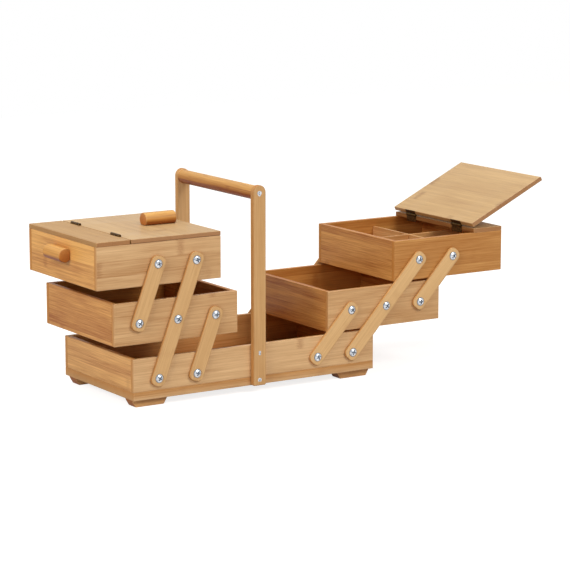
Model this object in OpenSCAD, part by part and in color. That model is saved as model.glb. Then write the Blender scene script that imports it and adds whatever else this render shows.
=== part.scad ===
// Cantilever sewing box: a base with a handle, two tiers of trays on each side, and two hinged lids.
// Millimetres. The origin is the middle of the base's footprint, at floor level. +Z is up,
// X runs along the box from left to right, and -Y is the front.

/* [Base box] */
// Length of the base box
base_l = 400; // [370:5:480]
// Depth of the base box, front to back
base_d = 203; // [170:1:240]
// Height of the base box without its feet
base_h = 58.5; // [54:0.5:75]
// Thickness of the board under the base box
base_floor_t = 12; // [8:0.5:14]
// Thickness of every box wall
wall_t = 7; // [6.5:0.5:9]

/* [Feet] */
// Height of the feet
foot_h = 11; // [8:0.5:16]
// Length of a foot along the base, at its top
foot_l = 58; // [40:1:80]
// Width of a foot, front to back
foot_w = 20; // [14:1:30]
// How far each end of a foot slants in towards the floor
foot_slant = 6.5; // [2:0.5:12]
// Distance from the end of the base to a foot
foot_end_inset = 1; // [0:0.5:10]
// Distance from the front or back of the base to a foot
foot_side_inset = 8; // [2:0.5:15]

/* [Trays] */
// Height of the middle trays
mid_h = 59.5; // [54:0.5:62]
// Wall height of the top trays
top_h = 60; // [52:0.5:75]
// Thickness of the tray bottoms
tray_floor_t = 5; // [3:0.5:7]
// Gap at the front and at the back between a tray and the plane of the handle uprights
tray_side_clear = 0.4; // [0.3:0.1:1.5]
// How far a shut middle tray stands in from the end of the base
mid_end_inset = 0.2; // [0:0.1:4]
// Gap between a shut middle tray and the middle of the base
mid_meet_gap = 2.8; // [0.3:0.1:6]
// How far a shut top tray stands in from the end of the base
top_end_inset = 3.5; // [0:0.1:6]
// Gap between a shut top tray and the middle of the base
top_meet_gap = 0.5; // [0.3:0.1:4]

/* [Dividers] */
// Thickness of the divider boards
divider_t = 4; // [3:0.5:6]
// Distance from the rim down to the dividers
divider_drop = 11.5; // [5:0.5:25]
// Gap beside a divider in the other one's notch
notch_clear = 0.1; // [0.05:0.05:0.3]

/* [Arms] */
// Distance between neighbouring pivots on an arm
arm_pitch = 86; // [82:0.5:96]
// Distance between the two arms of a pair, from pivot to pivot
arm_gap = 61; // [50:0.5:66]
// Width of the arms
arm_w = 23; // [18:0.5:28]
// Radius of the arms' corners
arm_corner = 9; // [5:0.5:9]
// Thickness of the arms
arm_t = 4; // [3:0.5:6]
// Gap between the base's walls and the arms
arm_clear = 0.3; // [0.2:0.1:1]
// Distance from the end of the base to the long arm's pivot
base_pivot_in = 38.5; // [30:0.5:45]
// Height of the pivots above the underside of each tray
pivot_above_floor = 30; // [24:0.5:36]

/* [Pose] */
// How far the left arms lean towards the handle, in degrees
left_lean = 20.9; // [-30:0.1:40]
// Clear height between the tiers on the open right side
right_gap = 3.4; // [0.3:0.1:20]
// Clear height between the tiers when a side is shut
shut_gap = 2.4; // [1:0.1:5]
// How far the right lid is thrown open, in degrees
right_lid_turn = 154.6; // [90:0.1:155]

/* [Pivot screws] */
// Diameter of the pivot screws' shanks
screw_d = 5; // [4:0.5:6]
// Gap round a shank in an arm
pivot_clear = 0.06; // [0.02:0.01:0.1]
// Gap round a shank in a wall
seat_clear = 0.02; // [0.01:0.01:0.05]
// Depth of a pivot screw in a wall
screw_bite = 6; // [4:0.5:6]
// Diameter of the domed heads
head_d = 12.5; // [9:0.5:14]
// Height of the domed heads
head_h = 3; // [2:0.5:4]
// Gap under a domed head
head_clear = 0.15; // [0.05:0.05:0.5]
// Length of each slot of the cross recess
recess_l = 6; // [4:0.5:8]
// Width of each slot of the cross recess
recess_w = 1.1; // [0.8:0.1:1.6]

/* [Handle] */
// Width of the uprights
upright_w = 21; // [18:0.5:28]
// Thickness of the uprights
upright_t = 8; // [7:0.5:12]
// Height of the bar's axis above the underside of the base
bar_z = 274.8; // [250:0.1:330]
// Drop of the bar below the middle of the uprights' round tops
bar_drop = 1.2; // [0:0.1:2]
// Diameter of the bar
bar_d = 20; // [16:0.5:20]
// Height of the upper fixing screws above the underside of the base
upper_fix_z = 47; // [30:0.5:50]
// Height of the lower fixing screws above the underside of the base
lower_fix_z = 8; // [5:0.5:20]
// Diameter of the countersunk heads in the uprights' feet
fix_head_d = 6.5; // [5:0.5:8]
// Diameter of those screws' shanks
fix_d = 3; // [2.5:0.5:4]
// Depth of those screws in the base walls
fix_bite = 5.5; // [4:0.5:6]
// Diameter of the countersunk heads in the bar's ends
bar_head_d = 8; // [6:0.5:10]
// Diameter of the bar screws' shanks
bar_screw_d = 4; // [3:0.5:5]
// Depth of the bar screws in the bar
bar_bite = 25; // [15:1:40]

/* [Lids] */
// Thickness of the fixed strips and of the lid tops
lid_t = 6.5; // [5:0.5:9]
// Width of the fixed strips
strip_w = 52.2; // [40:0.1:75]
// Gap between a strip and its lid
seam = 1.2; // [1:0.1:2]
// Gap between a shut lid and the rim
lid_clear = 0.3; // [0.2:0.1:0.8]

/* [Knobs] */
// Diameter of the knobs
knob_d = 20; // [16:0.5:24]
// Length of the knobs
knob_l = 50; // [35:1:70]
// Depth of the flat by which a knob sits on its board
knob_flat = 2; // [1:0.5:4]
// Chamfer round the knobs' ends
knob_chamfer = 0.8; // [0.4:0.1:2]
// Distance from the lid's free edge to its knob
lid_knob_in = 17.5; // [5:0.5:30]
// Height of the end knobs' axis above the underside of the top tray
end_knob_z = 39; // [25:0.5:45]

/* [Hinges] */
// Length of a hinge
hinge_l = 25; // [18:0.5:34]
// Distance from the front or back of a tray to the middle of a hinge
hinge_in = 42.5; // [30:0.5:60]
// Diameter of the hinge knuckles
knuckle_d = 4.4; // [3.6:0.1:5]
// Diameter of the hinge pins
hinge_pin_d = 2; // [1.6:0.1:2.4]
// Gap round a hinge pin in the moving knuckle
hinge_clear = 0.05; // [0.02:0.01:0.1]
// Height of the hinge pin's axis above the lid
hinge_rise = 1; // [0.6:0.1:2]
// Thickness of the hinge leaves
leaf_t = 0.8; // [0.6:0.1:1]
// Depth of the recess that a leaf sits in
leaf_sink = 0.5; // [0.3:0.1:0.6]
// How far a fixed leaf hangs below its strip
leaf_hang = 3.5; // [1:0.5:8]
// Width of the moving knuckle between the two fixed ones
mid_knuckle_l = 9; // [6:0.5:12]
// Gap between neighbouring knuckles, and round a knuckle in the boards
knuckle_gap = 0.3; // [0.2:0.05:0.5]

/* [Hidden] */
$fn = 48;
LEFT = 0;
RIGHT = 1;
MID = 1;
TOP = 2;
FRONT = 0;
BACK = 1;
// How far a cutting shape reaches past the face that it cuts
OVER = 1;
// Gap past the end of a screw in its blind hole
HOLE_END_GAP = 0.2;
// Depth of the cross recesses
RECESS_DEPTH = 1.3;
// Depth of a countersunk head as a share of its diameter
CONE_SHARE = 0.3;

bamboo = [0.82, 0.66, 0.44];
bamboo_end = [0.76, 0.55, 0.33];
bamboo_arm = [0.85, 0.7, 0.48];
zinc = [0.78, 0.8, 0.83];
bronze = [0.26, 0.19, 0.12];

tray_d = base_d - 2 * tray_side_clear;
base_z = foot_h;
base_pivot_z = base_z + base_h - (mid_h - pivot_above_floor);
shut_lean = acos((mid_h + shut_gap) / arm_pitch);
right_lean = -acos((mid_h + right_gap) / arm_pitch);
shut_reach = arm_pitch * sin(shut_lean);
arm_y = base_d / 2 + arm_clear;
arm_side = arm_w / 2 - arm_corner;
inner_d = tray_d - 2 * wall_t;
hinge_u = strip_w + seam / 2;
hinge_z = top_h + lid_t + hinge_rise;

function lean(side) = side == LEFT ? left_lean : right_lean;
function lid_turn(side) = side == LEFT ? 0 : right_lid_turn;
function tray_l(tier) = tier == MID ? base_l / 2 - mid_meet_gap - mid_end_inset
    : base_l / 2 - top_meet_gap - top_end_inset;
function tray_h(tier) = tier == MID ? mid_h : top_h;
function tray_pivot_in(tier) = tier == MID ? base_pivot_in + shut_reach - mid_end_inset
    : base_pivot_in + 2 * shut_reach - top_end_inset;
function pivots_in(tier) = tier == MID ? [for (k = [-1, 0, 1]) tray_pivot_in(MID) + k * arm_gap]
    : [for (k = [-1, 0]) tray_pivot_in(TOP) + k * arm_gap];
function pivot_u(side, tier) = base_pivot_in + tier * arm_pitch * sin(lean(side));
function pivot_z(side, tier) = base_pivot_z + tier * arm_pitch * cos(lean(side));
base_pivots = [base_pivot_in, base_pivot_in + arm_gap,
    base_l - base_pivot_in - arm_gap, base_l - base_pivot_in];

// Side frame: x runs from the end of the base towards the handle, on either side
module on_side(side) {
    if (side == LEFT) translate([-base_l / 2, 0, 0]) children();
    else translate([base_l / 2, 0, 0]) mirror([1, 0, 0]) children();
}

// Tray frame: x runs from the tray's outer end towards the handle, z up from its underside
module in_tray(side, tier) {
    on_side(side)
        translate([pivot_u(side, tier) - tray_pivot_in(tier), 0,
            pivot_z(side, tier) - pivot_above_floor])
            children();
}

// Lid frame: the tray frame of the top tray, turned about the hinge axis as far as the lid is open
module in_lid(side) {
    in_tray(side, TOP)
        translate([hinge_u, 0, hinge_z])
            rotate([0, -lid_turn(side), 0])
                translate([-hinge_u, 0, -hinge_z])
                    children();
}

// Puts a front piece at the front, or its mirror image at the back
module on_face(face) {
    if (face == FRONT) children();
    else mirror([0, 1, 0]) children();
}

// Blind holes for the pivot screws, bored from the front face of a box of depth d
module pivot_holes(d, places, z) {
    for (x = places)
        translate([x, -d / 2 - OVER, z])
            rotate([-90, 0, 0])
                cylinder(d = screw_d + 2 * seat_clear, h = screw_bite + HOLE_END_GAP + OVER);
}

// Front wall of a box, with its blind holes
module front_wall(l, d, h, z, places, hole_z) {
    difference() {
        translate([0, -d / 2, z]) cube([l, wall_t, h - z]);
        pivot_holes(d, places, hole_z);
    }
}

// Base box
module base_floor() {
    color(bamboo)
        difference() {
            translate([-base_l / 2, -base_d / 2, base_z]) cube([base_l, base_d, base_floor_t]);
            for (face = [FRONT, BACK]) on_face(face) fix_holes();
        }
}

module base_wall(face) {
    color(bamboo) on_face(face)
        difference() {
            translate([-base_l / 2, 0, base_z])
                front_wall(base_l, base_d, base_h, base_floor_t, base_pivots,
                    base_pivot_z - base_z);
            fix_holes();
        }
}

module base_end(side) {
    color(bamboo_end) on_side(side)
        translate([0, wall_t - base_d / 2, base_z + base_floor_t])
            cube([wall_t, base_d - 2 * wall_t, base_h - base_floor_t]);
}

module foot() {
    rotate([90, 0, 0])
        linear_extrude(foot_w)
            polygon([[foot_slant, 0], [foot_l - foot_slant, 0], [foot_l, foot_h], [0, foot_h]]);
}

module base_feet() {
    color(bamboo_end)
        for (side = [LEFT, RIGHT], face = [FRONT, BACK])
            on_side(side) on_face(face)
                translate([foot_end_inset, foot_side_inset + foot_w - base_d / 2, 0])
                    foot();
}

// Handle
module upright(face) {
    color(bamboo_arm) on_face(face)
        difference() {
            translate([0, -base_d / 2, base_z])
                rotate([90, 0, 0])
                    linear_extrude(upright_t) {
                        translate([-upright_w / 2, 0]) square([upright_w, bar_z + bar_drop]);
                        translate([0, bar_z + bar_drop]) circle(d = upright_w);
                    }
            countersink(bar_z, bar_head_d, bar_screw_d);
            for (z = [upper_fix_z, lower_fix_z]) countersink(z, fix_head_d, fix_d);
        }
}

module countersink(z, top_d, d) {
    translate([0, -base_d / 2 - upright_t, base_z + z])
        rotate([-90, 0, 0]) {
            cylinder(d1 = top_d + 2 * seat_clear, d2 = d + 2 * seat_clear, h = top_d * CONE_SHARE);
            translate([0, 0, -OVER]) cylinder(d = top_d + 2 * seat_clear, h = OVER);
            cylinder(d = d + 2 * seat_clear, h = upright_t + OVER);
        }
}

module fix_holes() {
    for (z = [upper_fix_z, lower_fix_z])
        translate([0, -base_d / 2 - OVER, base_z + z])
            rotate([-90, 0, 0])
                cylinder(d = fix_d + 2 * seat_clear, h = fix_bite + HOLE_END_GAP + OVER);
}

module handle_bar() {
    color(bamboo_arm)
        difference() {
            translate([0, base_d / 2, base_z + bar_z])
                rotate([90, 0, 0]) cylinder(d = bar_d, h = base_d);
            for (face = [FRONT, BACK])
                on_face(face)
                    translate([0, -base_d / 2 - OVER, base_z + bar_z])
                        rotate([-90, 0, 0])
                            cylinder(d = bar_screw_d + 2 * seat_clear,
                                h = bar_bite + HOLE_END_GAP + OVER);
        }
}

// Screws. Each points along +z with its head's underside, or its rim if countersunk, at z = 0
module cross_recess(z) {
    for (turn = [0, 90])
        rotate([0, 0, turn])
            translate([-recess_l / 2, -recess_w / 2, z])
                cube([recess_l, recess_w, RECESS_DEPTH + OVER]);
}

module domed_screw(shank_l) {
    dome_r = (head_d * head_d / 4 + head_h * head_h) / (2 * head_h);
    cylinder(d = screw_d, h = shank_l);
    mirror([0, 0, 1])
        difference() {
            rotate_extrude()
                intersection() {
                    translate([0, head_h - dome_r]) circle(r = dome_r, $fn = 96);
                    square([head_d / 2, head_h]);
                }
            cross_recess(head_h - RECESS_DEPTH);
        }
}

module flush_screw(top_d, d, l) {
    difference() {
        union() {
            cylinder(d1 = top_d, d2 = d, h = top_d * CONE_SHARE);
            cylinder(d = d, h = l);
        }
        translate([0, 0, -OVER])
            for (turn = [0, 90])
                rotate([0, 0, turn])
                    translate([-top_d * CONE_SHARE, -recess_w / 2, 0])
                        cube([2 * top_d * CONE_SHARE, recess_w, OVER + RECESS_DEPTH]);
    }
}

// Pivot screws of a box of depth d, at the front and at the back
module pivot_screws(d, places, z) {
    head_y = arm_y + arm_t + head_clear;
    for (face = [FRONT, BACK], x = places)
        on_face(face)
            translate([x, -head_y, z])
                rotate([-90, 0, 0])
                    domed_screw(head_y - d / 2 + screw_bite);
}

module base_screws() {
    color(zinc) {
        translate([-base_l / 2, 0, 0]) pivot_screws(base_d, base_pivots, base_pivot_z);
        for (face = [FRONT, BACK])
            on_face(face)
                translate([0, -base_d / 2 - upright_t, base_z])
                    rotate([-90, 0, 0]) {
                        translate([0, -bar_z, 0])
                            flush_screw(bar_head_d, bar_screw_d, upright_t + bar_bite);
                        for (z = [upper_fix_z, lower_fix_z])
                            translate([0, -z, 0])
                                flush_screw(fix_head_d, fix_d, upright_t + fix_bite);
                    }
    }
}

// Trays
module tray_floor(side, tier) {
    color(bamboo) in_tray(side, tier)
        translate([wall_t, wall_t - tray_d / 2, 0])
            cube([tray_l(tier) - 2 * wall_t, inner_d, tray_floor_t]);
}

module tray_wall(side, tier, face) {
    color(bamboo) in_tray(side, tier) on_face(face)
        front_wall(tray_l(tier), tray_d, tray_h(tier), 0, pivots_in(tier), pivot_above_floor);
}

module tray_outer_end(side, tier) {
    color(bamboo_end) in_tray(side, tier)
        translate([0, wall_t - tray_d / 2, 0])
            cube([wall_t, inner_d, tray_h(tier)]);
}

module tray_inner_end(side, tier) {
    color(bamboo_end) in_tray(side, tier)
        translate([tray_l(tier) - wall_t, wall_t - tray_d / 2, 0])
            cube([wall_t, inner_d, tray_h(tier)]);
}

module tray_screws(side, tier) {
    color(zinc) in_tray(side, tier)
        pivot_screws(tray_d, pivots_in(tier), pivot_above_floor);
}

// A hole round the hinge axis that clears the knuckles
module knuckle_room() {
    for (face = [FRONT, BACK])
        on_face(face)
            translate([hinge_u, hinge_in + hinge_l / 2 + knuckle_gap - tray_d / 2, hinge_z])
                rotate([90, 0, 0])
                    cylinder(d = knuckle_d + 2 * knuckle_gap, h = hinge_l + 2 * knuckle_gap);
}

// The recess for a leaf in the edge of a board, whose edge faces the seam
module leaf_recess(edge_u, z, h) {
    for (face = [FRONT, BACK])
        on_face(face)
            translate([edge_u - leaf_sink, hinge_in - hinge_l / 2 - tray_d / 2, z])
                cube([2 * leaf_sink, hinge_l, h]);
}

module top_strip(side) {
    color(bamboo) in_tray(side, TOP)
        difference() {
            translate([0, -tray_d / 2, top_h]) cube([strip_w, tray_d, lid_t]);
            knuckle_room();
            leaf_recess(strip_w, top_h - OVER, lid_t + 2 * OVER);
        }
}

// A knob: a dowel along x with a flat at z = 0
module knob() {
    r = knob_d / 2;
    intersection() {
        translate([0, 0, r - knob_flat])
            rotate([0, 90, 0])
                rotate_extrude()
                    polygon([[0, 0], [r - knob_chamfer, 0], [r, knob_chamfer],
                        [r, knob_l - knob_chamfer], [r - knob_chamfer, knob_l], [0, knob_l]]);
        translate([-OVER, -knob_d, 0]) cube([knob_l + 2 * OVER, 2 * knob_d, knob_d]);
    }
}

module end_knob(side) {
    color(bamboo_arm) in_tray(side, TOP)
        translate([0, knob_l / 2, end_knob_z])
            rotate([0, 0, -90]) rotate([90, 0, 0]) knob();
}

module dividers(side) {
    h = top_h - divider_drop - tray_floor_t;
    inner_l = tray_l(TOP) - 2 * wall_t;
    notch_w = divider_t + 2 * notch_clear;
    color(bamboo_end) in_tray(side, TOP)
        translate([tray_l(TOP) / 2, 0, tray_floor_t]) {
            difference() {
                translate([-inner_l / 2, -divider_t / 2, 0]) cube([inner_l, divider_t, h]);
                translate([-notch_w / 2, -divider_t, h / 2 - notch_clear])
                    cube([notch_w, 2 * divider_t, h]);
            }
            difference() {
                translate([-divider_t / 2, -inner_d / 2, 0]) cube([divider_t, inner_d, h]);
                translate([-divider_t, -notch_w / 2, -OVER])
                    cube([2 * divider_t, notch_w, h / 2 + OVER]);
            }
        }
}

// Hinges. Their frame has the pin's axis along y at the origin and the middle of the hinge at y = 0
module at_hinges() {
    for (face = [FRONT, BACK])
        on_face(face)
            translate([hinge_u, hinge_in - tray_d / 2, hinge_z])
                children();
}

module along_pin(d, from, to) {
    translate([0, to, 0]) rotate([90, 0, 0]) cylinder(d = d, h = to - from);
}

// Fixed leaf: hangs on the strip's edge and holds the two outer knuckles
module fixed_leaf() {
    half = hinge_l / 2;
    inner = mid_knuckle_l / 2 + knuckle_gap;
    back_x = -seam / 2 - leaf_sink;
    difference() {
        union() {
            for (k = [-1, 1])
                along_pin(knuckle_d, min(k * inner, k * half), max(k * inner, k * half));
            difference() {
                translate([back_x, -half, -hinge_rise - lid_t - leaf_hang])
                    cube([leaf_t, hinge_l, hinge_rise + lid_t + leaf_hang]);
                along_pin(knuckle_d + 2 * knuckle_gap, -inner, inner);
            }
        }
        along_pin(hinge_pin_d, -half - OVER, half + OVER);
    }
}

// Moving leaf: sits in the lid's edge and holds the middle knuckle
module moving_leaf() {
    half = hinge_l / 2;
    mid_half = mid_knuckle_l / 2;
    back_x = seam / 2 + leaf_sink;
    leaf_h = hinge_rise + lid_t - lid_clear;
    difference() {
        union() {
            along_pin(knuckle_d, -mid_half, mid_half);
            difference() {
                translate([back_x - leaf_t, -half, -leaf_h]) cube([leaf_t, hinge_l, leaf_h]);
                for (k = [-1, 1])
                    along_pin(knuckle_d + 2 * knuckle_gap,
                        min(k * mid_half, k * (half + OVER)), max(k * mid_half, k * (half + OVER)));
            }
        }
        along_pin(hinge_pin_d + 2 * hinge_clear, -half, half);
    }
}

module hinge_leaves(side) {
    color(bronze) in_tray(side, TOP)
        at_hinges() {
            fixed_leaf();
            along_pin(hinge_pin_d, -hinge_l / 2, hinge_l / 2);
        }
}

module lid_hinge_leaves(side) {
    color(bronze) in_lid(side) at_hinges() moving_leaf();
}

// Lids
module lid_board(side) {
    edge_u = strip_w + seam;
    color(bamboo) in_lid(side)
        difference() {
            translate([edge_u, -tray_d / 2, top_h + lid_clear])
                cube([tray_l(TOP) - edge_u, tray_d, lid_t - lid_clear]);
            knuckle_room();
            leaf_recess(edge_u, top_h - OVER, lid_t + 2 * OVER);
        }
}

module lid_knob(side) {
    color(bamboo_arm) in_lid(side)
        translate([tray_l(TOP) - lid_knob_in - knob_l, 0, top_h + lid_t])
            knob();
}

// Arms: a bar with round corners and a bore at each pivot, leaning with its side
module arm_outline(spans) {
    difference() {
        union() {
            translate([-arm_w / 2, -arm_side]) square([arm_w, spans * arm_pitch + 2 * arm_side]);
            translate([-arm_side, -arm_w / 2]) square([2 * arm_side, spans * arm_pitch + arm_w]);
            for (x = [-arm_side, arm_side], y = [-arm_side, spans * arm_pitch + arm_side])
                translate([x, y]) circle(r = arm_corner);
        }
        for (k = [0:spans])
            translate([0, k * arm_pitch]) circle(d = screw_d + 2 * pivot_clear);
    }
}

module arm(side, face, u, z, spans) {
    color(bamboo_arm) on_side(side) on_face(face)
        translate([u, -arm_y, z])
            rotate([90, 0, 0])
                rotate([0, 0, -lean(side)])
                    linear_extrude(arm_t) arm_outline(spans);
}

module long_arm(side, face) {
    arm(side, face, base_pivot_in, base_pivot_z, 2);
}

module lower_arm(side, face) {
    arm(side, face, base_pivot_in + arm_gap, base_pivot_z, 1);
}

module upper_arm(side, face) {
    arm(side, face, pivot_u(side, MID) - arm_gap, pivot_z(side, MID), 1);
}

base_floor();
base_wall(FRONT);  // base_front
base_wall(BACK);  // base_back
base_end(LEFT);  // base_left_end
base_end(RIGHT);  // base_right_end
base_feet();
upright(FRONT);  // handle_upright_front
upright(BACK);  // handle_upright_back
handle_bar();
base_screws();
tray_floor(LEFT, MID);  // left_mid_floor
tray_wall(LEFT, MID, FRONT);  // left_mid_front
tray_wall(LEFT, MID, BACK);  // left_mid_back
tray_outer_end(LEFT, MID);  // left_mid_outer_end
tray_inner_end(LEFT, MID);  // left_mid_inner_end
tray_screws(LEFT, MID);  // left_mid_pivot_screws
tray_floor(RIGHT, MID);  // right_mid_floor
tray_wall(RIGHT, MID, FRONT);  // right_mid_front
tray_wall(RIGHT, MID, BACK);  // right_mid_back
tray_outer_end(RIGHT, MID);  // right_mid_outer_end
tray_inner_end(RIGHT, MID);  // right_mid_inner_end
tray_screws(RIGHT, MID);  // right_mid_pivot_screws
tray_floor(LEFT, TOP);  // left_top_floor
tray_wall(LEFT, TOP, FRONT);  // left_top_front
tray_wall(LEFT, TOP, BACK);  // left_top_back
tray_outer_end(LEFT, TOP);  // left_top_outer_end
tray_inner_end(LEFT, TOP);  // left_top_inner_end
top_strip(LEFT);  // left_top_strip
end_knob(LEFT);  // left_top_knob
dividers(LEFT);  // left_top_dividers
hinge_leaves(LEFT);  // left_top_hinge_leaves
tray_screws(LEFT, TOP);  // left_top_pivot_screws
tray_floor(RIGHT, TOP);  // right_top_floor
tray_wall(RIGHT, TOP, FRONT);  // right_top_front
tray_wall(RIGHT, TOP, BACK);  // right_top_back
tray_outer_end(RIGHT, TOP);  // right_top_outer_end
tray_inner_end(RIGHT, TOP);  // right_top_inner_end
top_strip(RIGHT);  // right_top_strip
end_knob(RIGHT);  // right_top_knob
dividers(RIGHT);  // right_top_dividers
hinge_leaves(RIGHT);  // right_top_hinge_leaves
tray_screws(RIGHT, TOP);  // right_top_pivot_screws
lid_board(LEFT);  // left_lid_board
lid_knob(LEFT);  // left_lid_knob
lid_hinge_leaves(LEFT);  // left_lid_hinge_leaves
lid_board(RIGHT);  // right_lid_board
lid_knob(RIGHT);  // right_lid_knob
lid_hinge_leaves(RIGHT);  // right_lid_hinge_leaves
long_arm(LEFT, FRONT);  // left_long_arm_front
long_arm(LEFT, BACK);  // left_long_arm_back
lower_arm(LEFT, FRONT);  // left_lower_arm_front
lower_arm(LEFT, BACK);  // left_lower_arm_back
upper_arm(LEFT, FRONT);  // left_upper_arm_front
upper_arm(LEFT, BACK);  // left_upper_arm_back
long_arm(RIGHT, FRONT);  // right_long_arm_front
long_arm(RIGHT, BACK);  // right_long_arm_back
lower_arm(RIGHT, FRONT);  // right_lower_arm_front
lower_arm(RIGHT, BACK);  // right_lower_arm_back
upper_arm(RIGHT, FRONT);  // right_upper_arm_front
upper_arm(RIGHT, BACK);  // right_upper_arm_back
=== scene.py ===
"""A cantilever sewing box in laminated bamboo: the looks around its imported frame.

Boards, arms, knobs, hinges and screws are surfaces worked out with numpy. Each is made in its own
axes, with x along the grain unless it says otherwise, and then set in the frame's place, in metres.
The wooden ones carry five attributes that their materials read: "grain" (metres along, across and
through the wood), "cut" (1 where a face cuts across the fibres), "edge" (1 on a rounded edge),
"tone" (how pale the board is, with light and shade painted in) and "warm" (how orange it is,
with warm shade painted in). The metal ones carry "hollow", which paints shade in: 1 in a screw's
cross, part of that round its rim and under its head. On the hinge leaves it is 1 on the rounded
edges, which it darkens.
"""

import math
import zlib

import bpy
import numpy as np
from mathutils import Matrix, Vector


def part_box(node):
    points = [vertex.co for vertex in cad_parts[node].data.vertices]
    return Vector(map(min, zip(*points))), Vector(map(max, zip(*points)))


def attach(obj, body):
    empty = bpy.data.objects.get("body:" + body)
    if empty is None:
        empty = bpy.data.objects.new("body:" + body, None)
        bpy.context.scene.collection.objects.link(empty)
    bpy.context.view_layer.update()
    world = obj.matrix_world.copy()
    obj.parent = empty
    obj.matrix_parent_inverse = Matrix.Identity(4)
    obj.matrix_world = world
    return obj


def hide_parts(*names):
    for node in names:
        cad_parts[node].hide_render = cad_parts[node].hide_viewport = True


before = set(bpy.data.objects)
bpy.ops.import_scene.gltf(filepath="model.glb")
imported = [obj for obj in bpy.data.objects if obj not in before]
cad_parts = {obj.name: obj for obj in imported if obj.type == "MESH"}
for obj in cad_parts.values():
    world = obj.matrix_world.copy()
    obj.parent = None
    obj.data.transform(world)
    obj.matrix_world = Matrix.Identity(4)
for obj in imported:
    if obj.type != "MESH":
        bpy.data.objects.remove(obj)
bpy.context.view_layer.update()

MM = 0.001
SIDES = ("left", "right")
X, Y, Z = np.eye(3)

# Sizes of the real box that the frame's corner boxes don't give
BASE_HALF_LENGTH = 200 * MM
BASE_HALF_DEPTH = 101.5 * MM
BASE_Z = 11 * MM
FOOT_LONG = 58 * MM
FOOT_WIDE = 20 * MM
FOOT_SLANT = 6.5 * MM

# Trays. The heights are those of the walls, and the gap is the one between the right tiers
TRAY_HALF_DEPTH = 101.1 * MM
TOP_TRAY_LONG = 196 * MM
MID_WALL = 59.5 * MM
TOP_WALL = 60 * MM
RIGHT_GAP = 3.4 * MM
DIVIDER_HALF = 2 * MM

# Arms and their pivots. ARM_PLANE and HEAD_SEAT, where the arms and the screw heads start, are
# counted from the middle of the box towards the front and the back
PIVOT_Z = 40 * MM
PIVOT_FROM_END = 38.5 * MM
ARM_PITCH = 86 * MM
ARM_GAP = 61 * MM
ARM_HALF_WIDTH = 11.5 * MM
ARM_THICK = 4 * MM
ARM_CORNER = 9 * MM
ARM_EDGE = 1.2 * MM
ARM_BORE = 2.56 * MM
ARM_PLANE = 101.8 * MM
HEAD_SEAT = 105.95 * MM
LEAN = {"left": math.radians(20.9), "right": -math.acos((MID_WALL + RIGHT_GAP) / ARM_PITCH)}

# Handle. Heights are counted from the underside of the base
UPRIGHT_THICK = 8 * MM
UPRIGHT_HIGH = 286.5 * MM
UPRIGHT_HALF = 10.5 * MM
BAR_Z = 274.8 * MM
BAR_RADIUS = 10 * MM
FIXING_Z = (8 * MM, 47 * MM)

# Screws: radii of the domed ones, then (head radius, shank radius, head depth) of the countersunk
# ones, and how much wider than those radii their holes are
DOME_RADIUS = 6.25 * MM
PIVOT_SHANK = 2.5 * MM
FIXING_SCREW = (3.25 * MM, 1.5 * MM, 1.95 * MM)
BAR_SCREW = (4 * MM, 2 * MM, 2.4 * MM)
HEAD_ROOM = 0.02 * MM
SHANK_ROOM = 0.01 * MM

# Lids, strips and knobs
LID_TURN = {"left": 0.0, "right": math.radians(154.6)}
LID_THICK = 6.5 * MM
LID_CLEAR = 0.3 * MM
STRIP_WIDTH = 52.2 * MM
SEAM = 1.2 * MM
LID_WIDTH = TOP_TRAY_LONG - STRIP_WIDTH - SEAM
KNOB_LONG = 50 * MM
KNOB_RADIUS = 10 * MM
KNOB_FLAT = 0.8
LID_KNOB_IN = 17.5 * MM
END_KNOB_Z = 39 * MM

# Hinges. The pin's axis lies HINGE_U in from the tray's outer face and HINGE_Z above its underside
HINGE_RISE = 1 * MM
HINGE_U = STRIP_WIDTH + SEAM / 2
HINGE_Z = TOP_WALL + LID_THICK + HINGE_RISE
HINGE_HALF = 12.5 * MM
HINGE_FROM_FRONT = 42.5 * MM
HINGE_PLACES = (HINGE_FROM_FRONT - TRAY_HALF_DEPTH, TRAY_HALF_DEPTH - HINGE_FROM_FRONT)
PIN_RADIUS = 1 * MM
PIN_HALF = 12.3 * MM
PIN_ROOM = 0.05 * MM
KNUCKLE_RADIUS = 2.2 * MM
KNUCKLE_EDGE = 0.35 * MM
KNUCKLE_GROOVE = 2.5 * MM
MID_KNUCKLE_HALF = 4.5 * MM
SIDE_KNUCKLE_HALF = 3.85 * MM
SIDE_KNUCKLE_AT = 8.65 * MM
LEAF_THICK = 0.8 * MM
LEAF_SUNK = 0.5 * MM
LEAF_OUT = 0.7 * MM
LEAF_HANG = 3.5 * MM
LEAF_TOP = -2.6 * MM
NECK_TOP = -0.4 * MM

# Of the wood: how far apart the cane's knuckles are, how deep one layer of bars goes, and how much
# the roughness changes with the streaks
KNUCKLES_APART = 0.23
LAYER_DEEP = 0.03
STREAK_GLOSS = 0.14


# Surfaces

def weld(points, faces, edge):
    """Points less than a ten-thousandth of a millimetre apart become one; faces that shrink away go."""
    keys = np.round(points * 1e7).astype(np.int64)
    _, first, where = np.unique(keys, axis=0, return_index=True, return_inverse=True)
    where = where.ravel()
    kept = []
    for block in faces:
        block = where[block]
        if block.shape[1] == 4:
            different = (np.diff(np.sort(block, axis=1), axis=1) > 0).sum(axis=1)
            kept += [row for row in block[different == 3].tolist()]
            slim = block[different == 2]
            kept += [list(dict.fromkeys(row)) for row in slim.tolist()]
        else:
            kept += [list(dict.fromkeys(row)) for row in block.tolist()]
    return np.round(points[first], 9), kept, edge[first]


def grid_quads(rows, columns, start=0):
    """Four corners for each square of a grid whose points are numbered row by row."""
    corner = start + (np.arange(rows - 1)[:, None] * columns + np.arange(columns - 1)).ravel()
    return np.stack([corner, corner + columns, corner + columns + 1, corner + 1], axis=1)


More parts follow.
